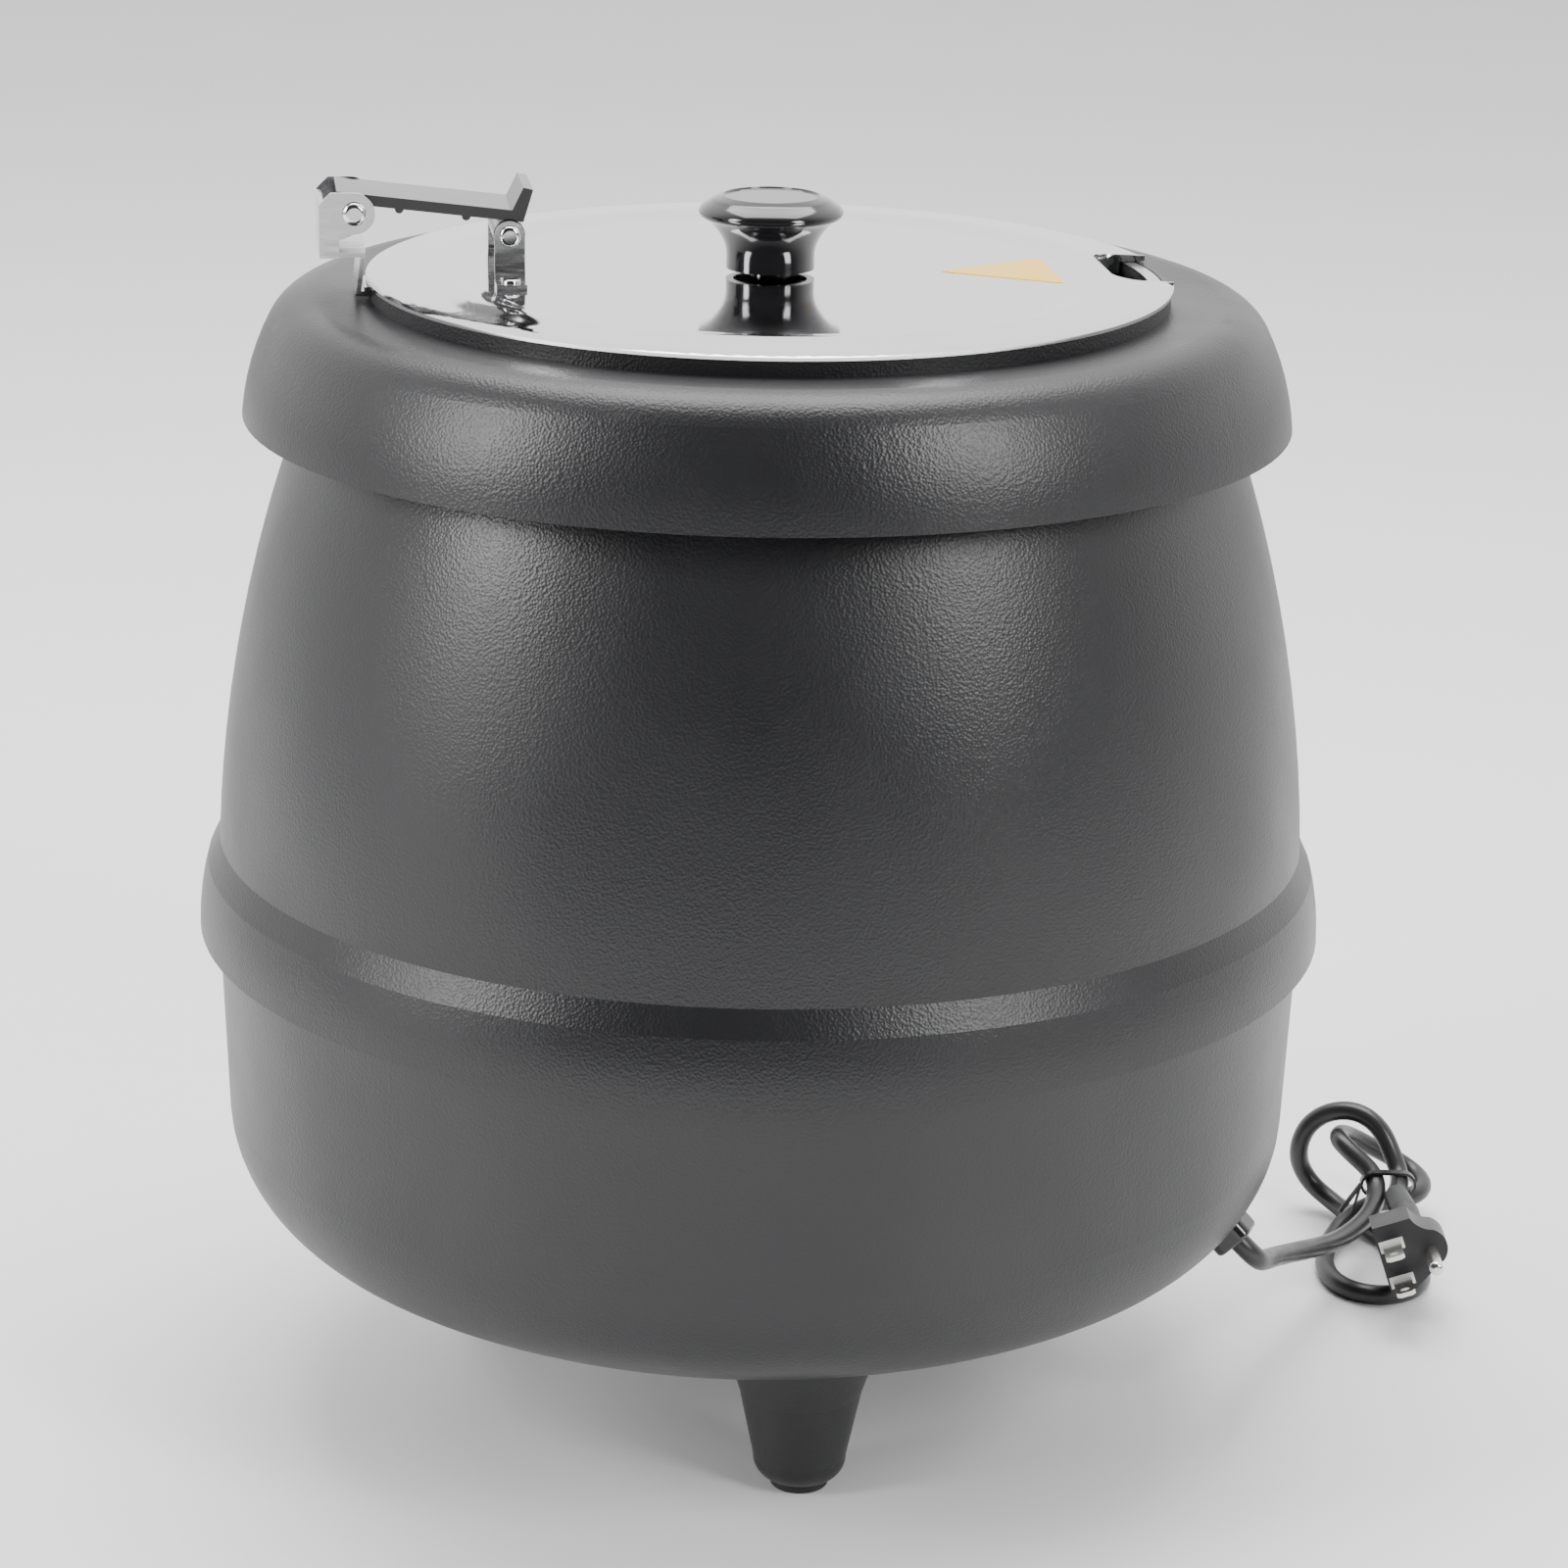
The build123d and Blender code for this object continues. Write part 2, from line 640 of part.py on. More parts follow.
save(inner_pot.part, "inner_pot")

# ---------------------------------------------------------------- lid

lid_border = [
    (lid_flat_radius, lid_flat_z),
    (lid_bead_radius, lid_bead_z),
    (lid_radius - 8.0, lid_bead_z - 0.55),
    (lid_radius, lid_edge_z),
]
notch_start = lid_radius - notch_depth


def notch_outline(grow):
    """The ladle notch in plan, open at the rim."""
    with Locations((notch_start - grow + 30, 0)):
        RectangleRounded(60 + grow, notch_width + 2 * grow, notch_corner + grow)


with BuildPart() as lid:
    with BuildSketch(Plane.XZ):
        with BuildLine():
            Line((0, lid_flat_z), lid_border[0])
            Spline(*lid_border, tangents=[(1, 0), (0.9, -0.42)])
            Line(lid_border[3], (lid_radius, lid_edge_z - lid_sheet))
            Spline((lid_radius, lid_edge_z - lid_sheet),
                   (lid_radius - 8.4, lid_bead_z - 0.55 - lid_sheet),
                   (lid_bead_radius, lid_bead_z - lid_sheet),
                   (lid_flat_radius + 0.5, lid_flat_z - lid_sheet),
                   tangents=[(-0.9, 0.42), (-1, 0)])
            Line((lid_flat_radius + 0.5, lid_flat_z - lid_sheet), (0, lid_flat_z - lid_sheet))
            Line((0, lid_flat_z - lid_sheet), (0, lid_flat_z))
        make_face()
    revolve(axis=Axis.Z)
    # turned-down wall round the notch; it hangs inside the pot
    with BuildSketch(lid_plane(lid_flat_z - lid_sheet - notch_wall_height)):
        notch_outline(lid_sheet)
    extrude(amount=notch_wall_height + lid_sheet + 0.4)
    with BuildSketch(lid_plane(lid_flat_z - 20)):
        notch_outline(0)
    extrude(amount=30, mode=Mode.SUBTRACT)
    with BuildSketch(Plane.XY.offset(lid_flat_z - 20)):
        Circle(lid_radius + 60)
        Circle(pot_bore_radius - 1.2, mode=Mode.SUBTRACT)
    extrude(amount=20 + lid_edge_z - lid_flat_z - lid_sheet - 0.001, mode=Mode.SUBTRACT)
    with BuildSketch(Plane.XY.offset(lid_flat_z - 20)):
        Circle(lid_radius + 60)
        Circle(lid_radius, mode=Mode.SUBTRACT)
    extrude(amount=40, mode=Mode.SUBTRACT)
    # holes for the knob's screw and the rivets of the brackets
    with BuildSketch(Plane.XY.offset(lid_flat_z - lid_sheet)):
        Circle(knob_screw_radius)
    extrude(amount=lid_sheet, mode=Mode.SUBTRACT)
    with BuildSketch(lid_plane(lid_flat_z - lid_sheet)):
        with Locations(*ear_rivet_places):
            Circle(ear_rivet_radius)
    extrude(amount=lid_sheet, mode=Mode.SUBTRACT)
save(lid.part, "lid")

with BuildPart() as lid_knob:
    with BuildSketch(Plane.XZ):
        with BuildLine():
            top = knob_base_z + knob_height
            brow = top - knob_crown_height
            Line((knob_screw_radius, knob_base_z + 3.0), (11.2, knob_base_z + 3.0))
            Line((11.2, knob_base_z + 3.0), (11.2, knob_base_z))
            Line((11.2, knob_base_z), (knob_neck_radius, knob_base_z))
            Spline((knob_neck_radius, knob_base_z), (knob_neck_radius + 0.3, knob_base_z + 6.5),
                   (knob_radius - 4.4, brow - 4.0), (knob_radius - 0.5, brow - 1.1),
                   tangents=[(0, 1), (0.88, 0.47)])
            Spline((knob_radius - 0.5, brow - 1.1), (knob_radius, brow),
                   (knob_disc_radius + 3.6, top - 1.5), (knob_disc_radius, top),
                   tangents=[(0.6, 0.8), (-0.95, 0.3)])
            Line((knob_disc_radius, top), (knob_disc_radius - 0.5, top - 0.5))
            Line((knob_disc_radius - 0.5, top - 0.5), (0, top - 0.5))
            Line((0, top - 0.5), (0, knob_base_z + 12.0))
            Line((0, knob_base_z + 12.0), (knob_screw_radius, knob_base_z + 12.0))
            Line((knob_screw_radius, knob_base_z + 12.0), (knob_screw_radius, knob_base_z + 3.0))
        make_face()
    revolve(axis=Axis.Z)
save(lid_knob.part, "lid_knob")

with BuildPart() as knob_washer:
    with BuildSketch(Plane.XY.offset(lid_flat_z)):
        Circle(6.5)
        Circle(knob_screw_radius, mode=Mode.SUBTRACT)
    extrude(amount=knob_gap + 3.0)
save(knob_washer.part, "knob_spacer")

with BuildPart() as knob_screw:
    with BuildSketch(Plane.XY.offset(lid_flat_z - lid_sheet)):
        Circle(knob_screw_radius)
    extrude(amount=knob_gap + lid_sheet + 11.0)
    with BuildSketch(Plane.XY.offset(lid_flat_z - lid_sheet - 2.6)):
        Circle(5.0)
    extrude(amount=2.6)
    fillet(knob_screw.faces().sort_by(Axis.Z)[0].edges(), 1.6)
    with BuildSketch(Plane.XY.offset(lid_flat_z - lid_sheet - 2.6)):
        Rectangle(6, 1.0)
    extrude(amount=1.3, mode=Mode.SUBTRACT)
save(knob_screw.part, "knob_screw")

with BuildPart() as lid_sticker:
    with BuildSketch(lid_plane(lid_flat_z)):
        with BuildLine():
            Polyline((51, 0), (86.5, 20.5), (86.5, -20.5), close=True)
        make_face()
        fillet(vertices(), 1.5)
    extrude(amount=0.15)
save(lid_sticker.part, "lid_sticker")

# ---------------------------------------------------------------- hinge

rear_pivot = (rear_pivot_x, rear_pivot_z)
front_pivot = (front_pivot_x, front_pivot_z)
pin_hole = pin_radius + pin_gap
bracket_outer = hinge_half + strip
back_x = rear_pivot_x - 10.3
back_top_z = rear_pivot_z + lobe_radius
step_z = rear_pivot_z - 13.2
leaf_x = -(lid_radius + 2.0)
foot_top_z = ledge_z
foot_inner_x = -(pot_outer_radius + 0.9)


with BuildPart() as hinge_bracket:
    for side_y in (-hinge_half, bracket_outer):
        with BuildSketch(hinge_plane(side_y)):
            with Locations(rear_pivot):
                Circle(lobe_radius)
            with BuildLine():
                Polyline((back_x, step_z), (back_x + 5.8, step_z),
                         (back_x + 5.8, rear_pivot_z - 8.0),
                         (rear_pivot_x, rear_pivot_z - lobe_radius), (rear_pivot_x, back_top_z),
                         (back_x + 3.5, back_top_z), (back_x, back_top_z - 3.5), close=True)
            make_face()
            with Locations(rear_pivot):
                Circle(pin_radius, mode=Mode.SUBTRACT)
        extrude(amount=strip)
    # back wall, step over the lid's edge and leaf down to the pot's tab
    with BuildSketch(hinge_plane()):
        with BuildLine():
            Polyline((back_x, step_z), (back_x, back_top_z - 3.5),
                     (back_x + strip, back_top_z - 3.5), (back_x + strip, step_z + strip),
                     (leaf_x + strip, step_z + strip), (leaf_x, foot_top_z),
                     (leaf_x - strip, foot_top_z), (leaf_x, step_z), close=True)
        make_face()
    extrude(amount=hinge_half, both=True)
    with BuildSketch(hinge_plane()):
        with BuildLine():
            Polyline((leaf_x - strip, foot_top_z), (foot_inner_x, foot_top_z),
                     (foot_inner_x, foot_top_z - strip), (leaf_x - strip, foot_top_z - strip),
                     close=True)
        make_face()
    extrude(amount=tab_half, both=True)
    with BuildSketch(lid_plane(foot_top_z - strip)):
        with Locations(*bracket_rivet_places):
            Circle(bracket_rivet_radius)
    extrude(amount=strip, mode=Mode.SUBTRACT)
save(hinge_bracket.part, "hinge_bracket")

with BuildPart() as bracket_rivets:
    with BuildSketch(lid_plane(foot_top_z - strip)):
        with Locations(*bracket_rivet_places):
            Circle(bracket_rivet_radius)
    extrude(amount=strip + pot_wall)
save(bracket_rivets.part, "bracket_rivets")


def rivet_pin(x, z, half_length, shank, head, head_height):
    """A cross pin with a domed head at each end, lying along the hinge's axis."""
    crown = (head ** 2 + head_height ** 2) / (2 * head_height)
    with BuildPart() as made:
        with BuildSketch(hinge_plane()):
            with Locations((x, z)):
                Circle(shank)
        extrude(amount=half_length, both=True)
        for end in (1, -1):
            face_plane = Plane(origin=lid_point(x, end * half_length, z),
                               x_dir=(0, 0, 1), z_dir=lid_point(0, end, 0))
            with BuildSketch(face_plane):
                Circle(head)
            extrude(amount=head_height)
            dome = made.faces().sort_by(Axis(face_plane.origin, face_plane.z_dir))[-1]
            fillet(dome.edges(), min(head_height * 0.9, crown * 0.4))
    return made.part


pin_head = pin_radius + 1.5
rear_pin = rivet_pin(rear_pivot_x, rear_pivot_z, bracket_outer, pin_radius, pin_head, 1.7)
save(rear_pin, "rear_hinge_pin")
front_pin = rivet_pin(front_pivot_x, front_pivot_z, bracket_outer, pin_radius, pin_head - 0.3, 1.5)
save(front_pin, "front_hinge_pin")

arm_half = hinge_half - arm_side_gap
arm_under_rear = rear_pivot_z + arm_rear_lift
arm_under_front = front_pivot_z + arm_front_lift
arm_slope = (arm_under_front - arm_under_rear) / (front_pivot_x - rear_pivot_x)
arm_rise = arm_thick * sqrt(1 + arm_slope ** 2)
arm_rear_x = rear_pivot_x - 5.0
arm_front_x = front_pivot_x + 4.2
lip_tip_x = front_pivot_x + 7.1


def arm_under(x):
    """Height of the arm's underside."""
    return arm_under_rear + arm_slope * (x - rear_pivot_x)


with BuildPart() as hinge_arm:
    with BuildSketch(hinge_plane()):
        with BuildLine():
            arm_outline = Polyline(
                (arm_rear_x, arm_under(arm_rear_x)),
                (arm_front_x, arm_under(arm_front_x)),
                (lip_tip_x, arm_under(arm_front_x) + 9.6),
                (lip_tip_x - 2.9, arm_under(arm_front_x) + 10.3),
                (arm_front_x - 3.3, arm_under(arm_front_x - 3.3) + arm_rise),
                (arm_rear_x, arm_under(arm_rear_x) + arm_rise), close=True)
        make_face()
        fillet([v for v in vertices() if v.Z > rear_pivot_z + 6.4 and v.X > -100], 1.1)
    extrude(amount=arm_half, both=True)
    # knuckles for the pins and two half-round ribs between them
    with BuildSketch(hinge_plane()):
        with Locations(rear_pivot):
            Circle(rear_knuckle_radius)
        with Locations(front_pivot):
            Circle(arm_front_lift + 0.4)
        for reach in (13.3, 33.0):
            with Locations((rear_pivot_x + reach, arm_under(rear_pivot_x + reach))):
                Circle(1.3)
    extrude(amount=arm_half, both=True)
    with BuildSketch(hinge_plane()):
        with Locations(rear_pivot, front_pivot):
            Circle(pin_hole)
    extrude(amount=arm_half, both=True, mode=Mode.SUBTRACT)
save(hinge_arm.part, "hinge_arm")

joggle = strip
ear_top_z = front_pivot_z + ear_radius
with BuildPart() as lid_brackets:
    for side in (1, -1):
        inner, outer = side * hinge_half, side * bracket_outer
        low_inner, low_outer = side * (hinge_half + joggle), side * (bracket_outer + joggle)
        flange_end = side * (ear_flange_y + ear_radius)
        with BuildSketch(Plane(origin=lid_point(front_pivot_x, 0, 0),
                               x_dir=lid_point(0, 1, 0), z_dir=lid_point(1, 0, 0))):
            with BuildLine():
                Polyline((inner, ear_top_z), (inner, lid_flat_z + 6.4),
                         (low_inner, lid_flat_z + 2.2), (low_inner, lid_flat_z),
                         (flange_end, lid_flat_z), (flange_end, lid_flat_z + strip),
                         (low_outer, lid_flat_z + strip), (low_outer, lid_flat_z + 2.2),
                         (outer, lid_flat_z + 6.4), (outer, ear_top_z), close=True)
            make_face()
        extrude(amount=ear_radius, both=True)
    with BuildSketch(hinge_plane()):
        with BuildLine():
            Line((front_pivot_x - ear_radius, front_pivot_z),
                 (front_pivot_x - ear_radius, lid_flat_z))
            Line((front_pivot_x - ear_radius, lid_flat_z), (front_pivot_x + ear_radius, lid_flat_z))
            Line((front_pivot_x + ear_radius, lid_flat_z), (front_pivot_x + ear_radius, front_pivot_z))
            ThreePointArc((front_pivot_x + ear_radius, front_pivot_z), (front_pivot_x, ear_top_z),
                          (front_pivot_x - ear_radius, front_pivot_z))
        make_face()
        with Locations(front_pivot):
            Circle(pin_radius, mode=Mode.SUBTRACT)
    extrude(amount=2 * lid_radius, both=True, mode=Mode.INTERSECT)
    with BuildSketch(lid_plane(lid_flat_z)):
        with Locations(*ear_rivet_places):
            Circle(ear_rivet_radius)
    extrude(amount=strip, mode=Mode.SUBTRACT)
save(lid_brackets.part, "lid_brackets")

with BuildPart() as lid_bracket_rivets:
    with BuildSketch(lid_plane(lid_flat_z - lid_sheet)):
        with Locations(*ear_rivet_places):
            Circle(ear_rivet_radius)
    extrude(amount=lid_sheet + strip)
    with BuildSketch(lid_plane(lid_flat_z + strip)):
        with Locations(*ear_rivet_places):
            Circle(2.9)
    extrude(amount=1.2)
    fillet(lid_bracket_rivets.faces().group_by(Axis.Z)[-1].edges(), 1.0)
    with BuildSketch(lid_plane(lid_flat_z - lid_sheet - 0.8)):
        with Locations(*ear_rivet_places):
            Circle(2.4)
    extrude(amount=0.8)
save(lid_bracket_rivets.part, "lid_bracket_rivets")

# ---------------------------------------------------------------- controls

with BuildPart() as control_panel:
    with BuildSketch(outward_plane(panel_azimuth, panel_face - panel_sheet, panel_z)):
        RectangleRounded(panel_width, panel_height, panel_corner)
    extrude(amount=60)
    with BuildSketch(outward_plane(panel_azimuth, panel_face, panel_z)):
        RectangleRounded(panel_width - 2 * panel_sheet, panel_height - 2 * panel_sheet,
                         panel_corner - panel_sheet)
    extrude(amount=60, mode=Mode.SUBTRACT)
    with BuildSketch(outward_plane(panel_azimuth, panel_face - panel_sheet, panel_z)):
        with Locations((dial_offset, 0)):
            Circle(shaft_radius + 0.5)
        with Locations((lamp_offset, 0)):
            Circle(lamp_radius)
    extrude(amount=panel_sheet, mode=Mode.SUBTRACT)
    # the tray's rim is trimmed flush with the bowl
    with BuildSketch(Plane.XZ):
        with BuildLine():
            bowl_line(0, 0, seam_z)
            Line((bowl_side(seam_z), seam_z), (0, seam_z))
            Line((0, seam_z), (0, bowl_base_z))
        make_face()
    revolve(axis=Axis.Z, mode=Mode.INTERSECT)
save(control_panel.part, "control_panel")

dial_seat = panel_face + dial_gap
with BuildPart() as control_dial:
    with BuildSketch(panel_plane(dial_seat, dial_offset)):
        Circle(dial_radius)
        with PolarLocations(dial_radius + 0.7, dial_grips):
            Circle(1.5, mode=Mode.SUBTRACT)
    extrude(amount=dial_height - 3.0)
    with BuildSketch(panel_plane(dial_seat + dial_height - 3.0, dial_offset)):
        Circle(dial_radius - 2.4)
    extrude(amount=3.0)
    with BuildSketch(panel_plane(dial_seat, dial_offset)):
        Circle(shaft_radius)
    extrude(amount=dial_height - 4.0, mode=Mode.SUBTRACT)
save(control_dial.part, "control_dial")

thermostat_depth = 21.0
thermostat_front = panel_face - panel_sheet
with BuildPart() as dial_shaft:
    with BuildSketch(panel_plane(thermostat_front - thermostat_depth / 2, dial_offset)):
        Circle(shaft_radius)
    extrude(amount=dial_seat + dial_height - 4.0 - thermostat_front + thermostat_depth / 2)
save(dial_shaft.part, "dial_shaft")

with BuildPart() as thermostat:
    with BuildSketch(panel_plane(thermostat_front - thermostat_depth, dial_offset)):
        Rectangle(30, 30)
    extrude(amount=thermostat_depth)
    with BuildSketch(panel_plane(thermostat_front - thermostat_depth / 2, dial_offset)):
        Circle(shaft_radius + 0.05)
    extrude(amount=thermostat_depth / 2, mode=Mode.SUBTRACT)
save(thermostat.part, "thermostat")

with BuildPart() as indicator_lamp:
    with BuildSketch(panel_plane(thermostat_front - 14.0, lamp_offset)):
        Circle(lamp_radius)
    extrude(amount=14.0 + panel_sheet + 2.0)
    lens = indicator_lamp.faces().sort_by(Axis((0, 0, 0), on_axis(panel_azimuth, 1, 0)))[-1]
    fillet(lens.edges(), 1.6)
save(indicator_lamp.part, "indicator_lamp")

bulb_radius = 3.0
capillary_radius = 1.0
bulb_z = clamp_z - bulb_radius
bulb_reach = 46.0
bulb_length = 34.0
capillary_azimuth = panel_azimuth - 8.0
thermostat_middle = thermostat_front - thermostat_depth / 2
capillary_foot_z = clamp_z - 20.0
with BuildPart() as thermostat_bulb:
    with BuildLine() as capillary:
        FilletPolyline(
            on_axis(capillary_azimuth, thermostat_middle, panel_z - 15.0),
            on_axis(capillary_azimuth, thermostat_middle, capillary_foot_z),
            on_axis(capillary_azimuth, bulb_reach + 22, capillary_foot_z),
            on_axis(capillary_azimuth, bulb_reach + 6, bulb_z),
            on_axis(capillary_azimuth, bulb_reach, bulb_z), radius=[8, 9, 9])
    with BuildSketch(Plane(origin=capillary.line @ 0, z_dir=capillary.line % 0)):
        Circle(capillary_radius)
    sweep()
    with BuildSketch(outward_plane(capillary_azimuth, bulb_reach - bulb_length, bulb_z)):
        Circle(bulb_radius)
    extrude(amount=bulb_length)
save(thermostat_bulb.part, "thermostat_bulb")

with BuildPart() as terminal_block:
    with BuildSketch(Plane.XY.offset(bowl_base_z)):
        with Locations((20, -20)):
            Rectangle(34, 18)
    extrude(amount=14)
    with BuildSketch(Plane.XY.offset(bowl_base_z + 6)):
        with Locations((20, -20)):
            with GridLocations(10, 0, 3, 1):
                Circle(2.6)
    extrude(amount=8, mode=Mode.SUBTRACT)
save(terminal_block.part, "terminal_block")

# ---------------------------------------------------------------- gland, cord and plug

with BuildPart() as cord_gland:
    with BuildSketch(gland_plane.offset(-shell - 1.5)):
        Circle(gland_neck_radius)
    extrude(amount=shell + 1.5 + gland_out)
    with BuildSketch(gland_plane.offset(-1.0)):
        RectangleRounded(gland_width, gland_width, 3.6)
    extrude(amount=gland_out + 1.0)
    with BuildSketch(gland_plane.offset(-shell - 4.5)):
        RegularPolygon(gland_nut_radius, 6)
    extrude(amount=4.5)
    outer_rim = cord_gland.faces().sort_by(Axis((0, 0, 0), gland_plane.z_dir))[-1]
    fillet(outer_rim.edges(), 1.3)
    with BuildSketch(gland_plane.offset(-2 * shell)):
        Circle(cord_radius)
    extrude(amount=4 * shell, mode=Mode.SUBTRACT)
    add(lower_casing.part, mode=Mode.SUBTRACT)
save(cord_gland.part, "cord_gland")


def smooth_radii(points):
    """Bend radii of a route: 0.45 of the shorter run over the tangent of half the turn."""
    radii = []
    for before, here, after in zip(points, points[1:], points[2:]):
        run_in, run_out = Vector(*here) - Vector(*before), Vector(*after) - Vector(*here)
        turn = radians(run_in.get_angle(run_out))
        radii.append(0.45 * min(run_in.length, run_out.length) / tan(turn / 2))
    return radii


def cord_tube(points, name):
    """A round cord along straight runs joined by tangent arcs."""
    radii = smooth_radii(points)
    with BuildPart() as made:
        with BuildLine() as route:
            FilletPolyline(*points, radius=radii)
        with BuildSketch(Plane(origin=route.line @ 0, z_dir=route.line % 0)):
            Circle(cord_radius)
        sweep()
    length = sum(edge.length for edge in route.line.edges())
    print(name, "radii", [round(r, 1) for r in radii])
    print(name, "volume", round(made.part.volume, 1), "section x length",
          round(pi * cord_radius ** 2 * length, 1), "length", round(length, 1))
    return made.part


gland_mouth = gland_plane.origin + gland_plane.z_dir * gland_out
gland_lead = gland_mouth + gland_plane.z_dir * 3.8
lead_points = [
    tuple(gland_mouth),
    tuple(gland_lead),
    (156.5, -49.1, 61.3),
    (158.5, -46.7, 58.7),
    (160.3, -42.4, 57.0),
    (162.2, -37.0, 55.6),
    (164.3, -28.0, 51.7),
    (166.8, -18.0, 47.7),
    (170.4, -6.5, 43.2),
    (174.8, 6.0, 38.5),
    (184.8, 31.0, 29.2),
    (196.0, 54.0, 21.6),
    (206.0, 73.0, 18.6),
    (213.4, 88.0, 18.6),
    (217.0, 102.0, 20.8),
]
cord_lead = cord_tube(lead_points, "cord_lead")
save(cord_lead, "cord_lead")

# the plug lies on the cord's bottom loop, its blades towards -Y and a little up
plug_face = Vector(215.7, 41.4, 20.1)
blade_way = Vector(-0.064, -0.987, 0.150).normalized()
blade_row = Vector(0.317, -0.1625, -0.9345).normalized()
plug_plane = Plane(origin=plug_face, x_dir=blade_row, z_dir=blade_way)
plug_depth = 17.0
plug_length = 50.0
blade_pitch = 12.7
blade_width = 6.3
blade_thick = 1.5
blade_length = 17.5
ground_radius = 2.4
ground_offset = 11.9
ground_length = 21.0
# the strain relief's rings: place across the face, depth and radius
neck_end = (-8.7, 6.4, plug_length, cord_radius + 0.8)
neck_rings = [(-2.0, 6.2, 27.0, 6.2), (-4.8, 7.3, 39.0, cord_radius + 1.6), neck_end]


def plug_outline():
    """Face of the plug: wide across the blades, rounding away at the ground pin."""
    Line((-13.5, -4.8), (-13.5, 8.3))
    ThreePointArc((-13.5, 8.3), (-9.8, 10.6), (-7.6, 14.5))
    ThreePointArc((-7.6, 14.5), (-1.0, 17.8), (3.6, 15.3))
    Line((3.6, 15.3), (10.4, 3.4))
    Line((10.4, 3.4), (10.2, -4.8))
    Line((10.2, -4.8), (-13.5, -4.8))


with BuildPart() as plug_body:
    with BuildSketch(plug_plane):
        with BuildLine():
            plug_outline()
        make_face()
    extrude(amount=-plug_depth)
    with BuildSketch(plug_plane.offset(-plug_depth)):
        with BuildLine():
            plug_outline()
        make_face()
    with BuildSketch(plug_plane.offset(-neck_rings[0][2])):
        with Locations(neck_rings[0][:2]):
            Circle(neck_rings[0][3])
    loft()
    for ring, next_ring in zip(neck_rings, neck_rings[1:]):
        for x, y, depth, radius in (ring, next_ring):
            with BuildSketch(plug_plane.offset(-depth)):
                with Locations((x, y)):
                    Circle(radius)
        loft()
    with BuildSketch(plug_plane.offset(-blade_seat)):
        with Locations((-blade_pitch / 2, 0), (blade_pitch / 2, 0)):
            Rectangle(blade_thick + 2.4, blade_width + 2.0)
    extrude(amount=blade_seat, mode=Mode.SUBTRACT)
    with BuildSketch(plug_plane.offset(-blade_seat)):
        with Locations((0, ground_offset)):
            Circle(ground_radius)
    extrude(amount=blade_seat, mode=Mode.SUBTRACT)
save(plug_body.part, "plug_body")

half_blade = blade_width / 2
with BuildPart() as plug_blades:
    for pitch in (-blade_pitch / 2, blade_pitch / 2):
        with BuildSketch(Plane(origin=plug_face + blade_row * (pitch - blade_thick / 2),
                               x_dir=blade_way, z_dir=blade_row)):
            with BuildLine():
                Polyline((-blade_seat, -half_blade), (blade_length - 1.5, -half_blade),
                         (blade_length, 1.2 - half_blade), (blade_length, half_blade - 1.2),
                         (blade_length - 1.5, half_blade), (-blade_seat, half_blade), close=True)
            make_face()
            with Locations((blade_length - 4.0, 0)):
                Circle(1.6, mode=Mode.SUBTRACT)
        extrude(amount=blade_thick)
save(plug_blades.part, "plug_blades")

with BuildPart() as plug_blade_seats:
    with BuildSketch(plug_plane.offset(-blade_seat)):
        with Locations((-blade_pitch / 2, 0), (blade_pitch / 2, 0)):
            Rectangle(blade_thick + 2.4, blade_width + 2.0)
            Rectangle(blade_thick, blade_width, mode=Mode.SUBTRACT)
    extrude(amount=blade_seat + 0.4)
save(plug_blade_seats.part, "plug_blade_seats")

with BuildPart() as plug_ground_pin:
    with BuildSketch(plug_plane.offset(-blade_seat)):
        with Locations((0, ground_offset)):
            Circle(ground_radius)
    extrude(amount=blade_seat + ground_length)
    pin_tip = plug_ground_pin.faces().sort_by(Axis(plug_face, blade_way))[-1]
    fillet(pin_tip.edges(), 1.8)
save(plug_ground_pin.part, "plug_ground_pin")

# the rest of the cord is tied in a bundle of loops that lies behind and under the plug
hank_front_y = 100.0
hank_depth = 46.0
with BuildPart() as cord_hank:
    with BuildSketch():
        with Locations((212.8, 75.5)):
            RectangleRounded(40.4, 54.0, 12)
    extrude(amount=2 * cord_radius)
    with BuildSketch(Plane.XZ.offset(-hank_front_y)):
        with BuildLine():
            Polyline((189, 0), (241, 0), (241, 24), (231, 34), (222, 45), (197, 45), (189, 37),
                     close=True)
        make_face()
    extrude(amount=-hank_depth)
save(cord_hank.part, "cord_hank")

# the tail leaves square to the strain relief's end face
tail_start = plug_plane.from_local_coords((neck_end[0], neck_end[1], -plug_length))
tail_lead = tail_start - blade_way * 5.0
tail_points = [tuple(tail_start), tuple(tail_lead), (224.2, 103.0, 21.9)]
cord_tail = cord_tube(tail_points, "cord_tail")
save(cord_tail, "cord_tail")

# twist tie: a flat wire round the two strands that meet behind the plug, with two free legs
tie_plane = Plane(origin=(220.8, 104.5, 22.2), x_dir=(1, 0, 0), z_dir=(0, 1, 0))
tie_knot = Vector(211.2, 103.0, 22.5)
tie_wire = 0.9
with BuildPart() as cord_tie:
    with BuildSketch(tie_plane.offset(-1.5)):
        SlotOverall(2 * cord_radius + 11.0 + 2 * tie_wire, 2 * cord_radius + 0.8 + 2 * tie_wire)
        SlotOverall(2 * cord_radius + 11.0, 2 * cord_radius + 0.8, mode=Mode.SUBTRACT)
    extrude(amount=3.0)
    for leg_end in (Vector(203.5, 97.0, 14.5), Vector(207.5, 96.0, 13.5)):
        with BuildSketch(Plane(origin=tie_knot, z_dir=leg_end - tie_knot)):
            Rectangle(1.4, tie_wire)
        extrude(amount=(leg_end - tie_knot).length)
save(cord_tie.part, "cord_tie")
